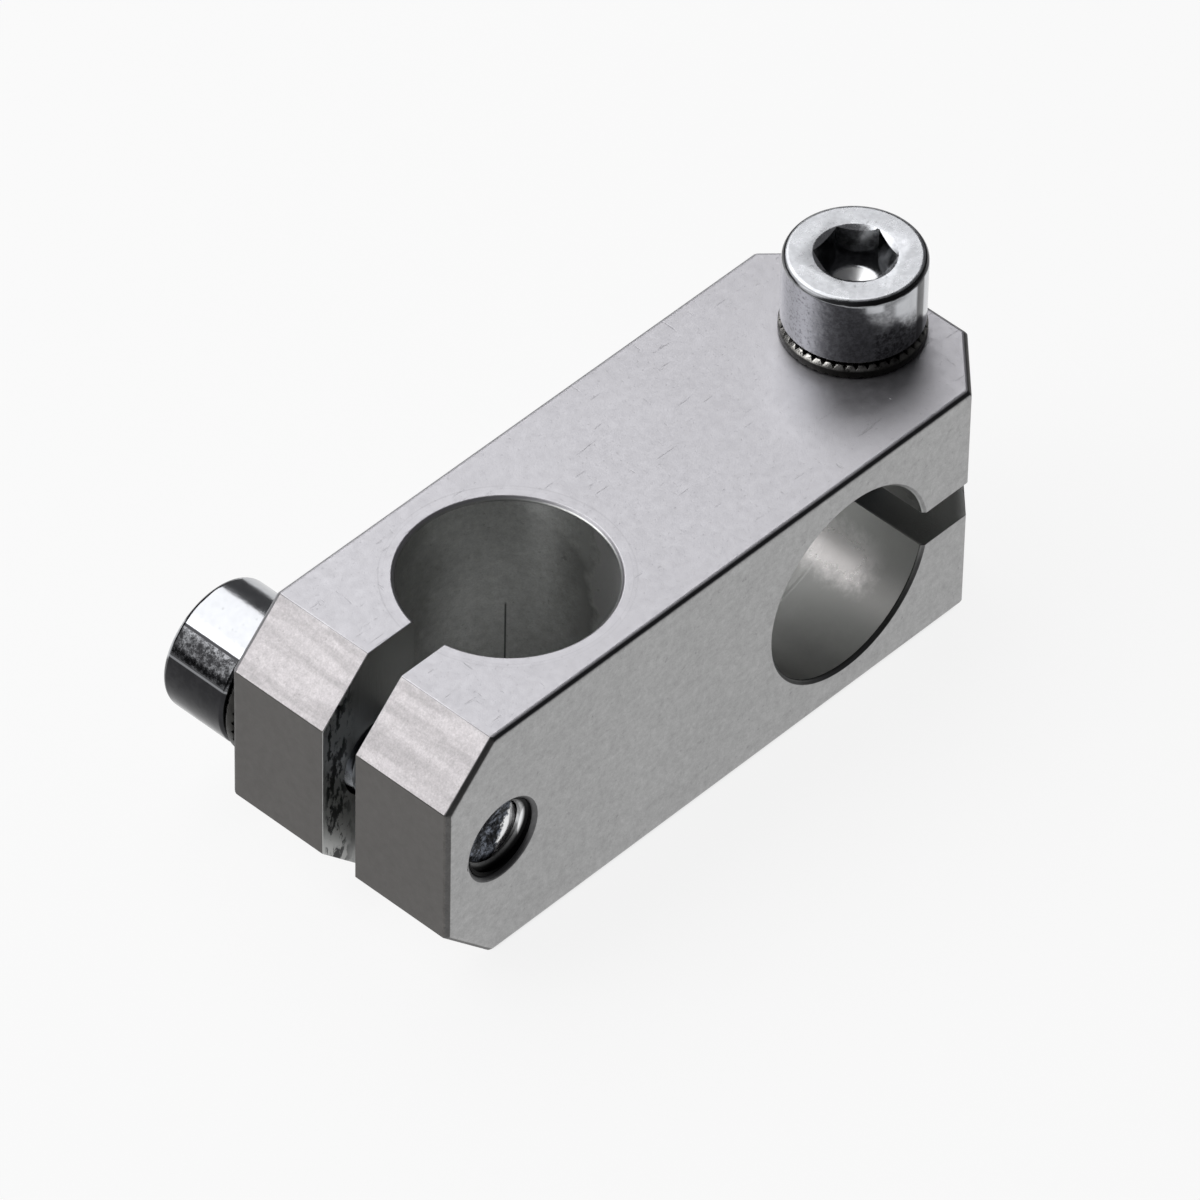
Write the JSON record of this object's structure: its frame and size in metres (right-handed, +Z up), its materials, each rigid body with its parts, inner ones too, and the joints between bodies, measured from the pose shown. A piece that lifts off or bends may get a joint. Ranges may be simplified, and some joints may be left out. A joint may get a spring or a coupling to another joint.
{
  "type": "cross clamp block",
  "caption": "Square aluminium clamp bar that grips two round rods at right angles, one in each slit end, each pinched shut by a socket screw with a ribbed lock washer.",
  "frame": {"origin": "centre of the bar's bottom face", "axes": "+X along the bar, from the end with the upright bore to the end with the cross bore; +Z up, along the upright rod bore; +Y across the bar, along the cross rod bore, towards the side screw's head"},
  "size_m": [0.055, 0.0269, 0.0269],
  "materials": {
    "block": "fine milled and tumbled, satin",
    "screw": "bright zinc plated",
    "washer": "dull dark plated spring steel"
  },
  "bodies": {
    "block": {"clamp_block": "block"},
    "side_washer": {"side_lock_washer": "washer"},
    "side_screw": {"side_clamp_screw": "screw"},
    "top_washer": {"top_lock_washer": "washer"},
    "top_screw": {"top_clamp_screw": "screw"}
  },
  "joints": [
    {"name": "side_screw_travel", "type": "slide", "parent": "block", "child": "side_washer", "axis": [0, 1, 0], "range_m": [0, 0.007]},
    {"name": "side_screw_turn", "type": "hinge", "parent": "side_washer", "child": "side_screw", "pos_m": [-0.0222, 0.01, 0.01], "axis": [0, 1, 0], "range_deg": [0, 2520]},
    {"name": "top_screw_travel", "type": "slide", "parent": "block", "child": "top_washer", "axis": [0, 0, 1], "range_m": [0, 0.007]},
    {"name": "top_screw_turn", "type": "hinge", "parent": "top_washer", "child": "top_screw", "pos_m": [0.0222, 0, 0.02], "axis": [0, 0, 1], "range_deg": [0, 2520]}
  ],
  "couplings": [
    {"joint": "side_screw_turn", "follows": "side_screw_travel", "rad_per_m": 6283.2},
    {"joint": "top_screw_turn", "follows": "top_screw_travel", "rad_per_m": 6283.2}
  ]
}
